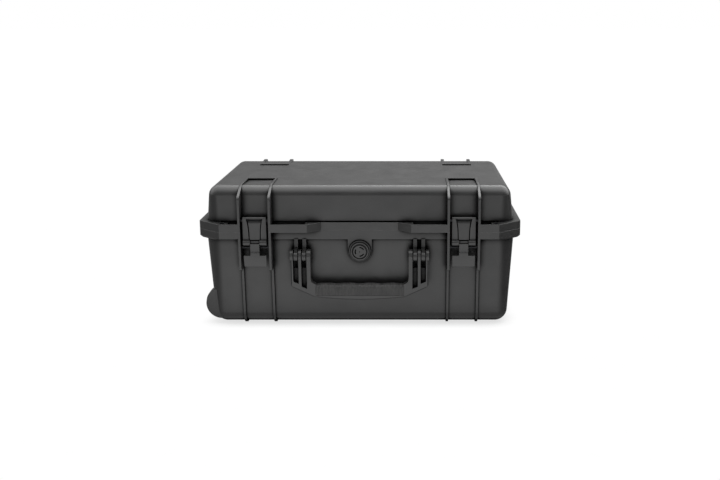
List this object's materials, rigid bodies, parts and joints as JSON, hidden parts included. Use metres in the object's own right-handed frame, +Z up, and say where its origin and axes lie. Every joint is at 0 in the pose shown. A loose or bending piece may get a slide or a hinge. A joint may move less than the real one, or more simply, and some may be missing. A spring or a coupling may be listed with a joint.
{
  "type": "drone carrying case",
  "caption": "Wheeled hard carrying case with hinged lid, double-throw latches, folding handles, trolley handle and cut foam for a drone.",
  "frame": {"origin": "on the floor under the middle of the case, lying flat on its foot ribs", "axes": "+X towards the trolley handle's end (the wheels are at -X), -Y towards the front with latches and handle, +Z up"},
  "size_m": [0.56, 0.352, 0.2525],
  "materials": {
    "shell": "fine moulded texture, satin black",
    "fitting": "satin glass-filled nylon",
    "grip": "soft-touch matt",
    "seal": "matt",
    "tyre": "matt",
    "hub": "satin",
    "steel": "brushed",
    "aluminium": "satin anodised",
    "foam": "open-cell foam"
  },
  "bodies": {
    "base": {"base_shell": "shell", "hinge_pins": "steel", "catch_bars": "steel", "padlock_sleeves_base": "steel", "front_handle_pins": "steel", "side_handle_pins": "steel", "valve_body": "fitting", "valve_gasket": "seal", "valve_nut": "fitting", "wheel_axle_front": "steel", "wheel_axle_rear": "steel", "trolley_outer_tubes": "aluminium", "trolley_tube_clamps": "fitting", "trolley_cover": "shell", "trolley_cover_screws": "steel", "base_foam": "foam"},
    "lid": {"lid_shell": "shell", "lid_seal": "seal", "latch_arm_pins": "steel", "padlock_sleeves_lid": "steel", "lid_foam": "foam"},
    "latch_arm_l": {"latch_arm_left": "fitting", "latch_lever_pin_left": "steel"},
    "latch_arm_r": {"latch_arm_right": "fitting", "latch_lever_pin_right": "steel"},
    "latch_lever_l": {"latch_lever_left": "fitting"},
    "latch_lever_r": {"latch_lever_right": "fitting"},
    "front_handle": {"front_handle_frame": "fitting", "front_handle_grip": "grip"},
    "side_handle": {"side_handle_frame": "fitting", "side_handle_grip": "grip"},
    "valve_knob": {"valve_cap": "fitting"},
    "wheel_front": {"wheel_tyre_front": "tyre", "wheel_hub_front": "hub", "wheel_bearings_front": "steel"},
    "wheel_rear": {"wheel_tyre_rear": "tyre", "wheel_hub_rear": "hub", "wheel_bearings_rear": "steel"},
    "trolley_stage_1": {"trolley_middle_tubes": "aluminium"},
    "trolley_stage_2": {"trolley_inner_tubes": "aluminium", "trolley_grip": "grip"},
    "trolley_release": {"trolley_button": "fitting"}
  },
  "joints": [
    {"name": "lid_hinge", "type": "hinge", "parent": "base", "child": "lid", "pos_m": [0, 0.167, 0.175], "axis": [-1, 0, 0], "range_deg": [0, 100]},
    {"name": "latch_arm_left_swing", "type": "hinge", "parent": "lid", "child": "latch_arm_l", "pos_m": [-0.1796, -0.167, 0.194], "axis": [-1, 0, 0], "range_deg": [0, 90]},
    {"name": "latch_arm_right_swing", "type": "hinge", "parent": "lid", "child": "latch_arm_r", "pos_m": [0.1796, -0.167, 0.194], "axis": [-1, 0, 0], "range_deg": [0, 90]},
    {"name": "latch_lever_left_throw", "type": "hinge", "parent": "latch_arm_l", "child": "latch_lever_l", "pos_m": [-0.1796, -0.17, 0.156], "axis": [-1, 0, 0], "range_deg": [0, 75]},
    {"name": "latch_lever_right_throw", "type": "hinge", "parent": "latch_arm_r", "child": "latch_lever_r", "pos_m": [0.1796, -0.17, 0.156], "axis": [-1, 0, 0], "range_deg": [0, 75]},
    {"name": "front_handle_fold", "type": "hinge", "parent": "base", "child": "front_handle", "pos_m": [0, -0.166, 0.131], "axis": [-1, 0, 0], "range_deg": [0, 95]},
    {"name": "side_handle_fold", "type": "hinge", "parent": "base", "child": "side_handle", "pos_m": [0.266, 0, 0.136], "axis": [0, -1, 0], "range_deg": [0, 90]},
    {"name": "valve_turn", "type": "hinge", "parent": "base", "child": "valve_knob", "pos_m": [0, -0.16, 0.1385], "axis": [0, -1, 0], "range_deg": [0, 180]},
    {"name": "wheel_front_spin", "type": "hinge", "parent": "base", "child": "wheel_front", "pos_m": [-0.2477, -0.1255, 0.0382], "axis": [0, 1, 0], "continuous": true},
    {"name": "wheel_rear_spin", "type": "hinge", "parent": "base", "child": "wheel_rear", "pos_m": [-0.2477, 0.1255, 0.0382], "axis": [0, 1, 0], "continuous": true},
    {"name": "trolley_stage_1_slide", "type": "slide", "parent": "base", "child": "trolley_stage_1", "axis": [1, 0, 0], "range_m": [0, 0.21]},
    {"name": "trolley_stage_2_slide", "type": "slide", "parent": "trolley_stage_1", "child": "trolley_stage_2", "axis": [1, 0, 0], "range_m": [0, 0.21]},
    {"name": "trolley_button_press", "type": "slide", "parent": "trolley_stage_2", "child": "trolley_release", "axis": [-1, 0, 0], "range_m": [0, 0.004], "stiffness_N_per_m": 400}
  ]
}
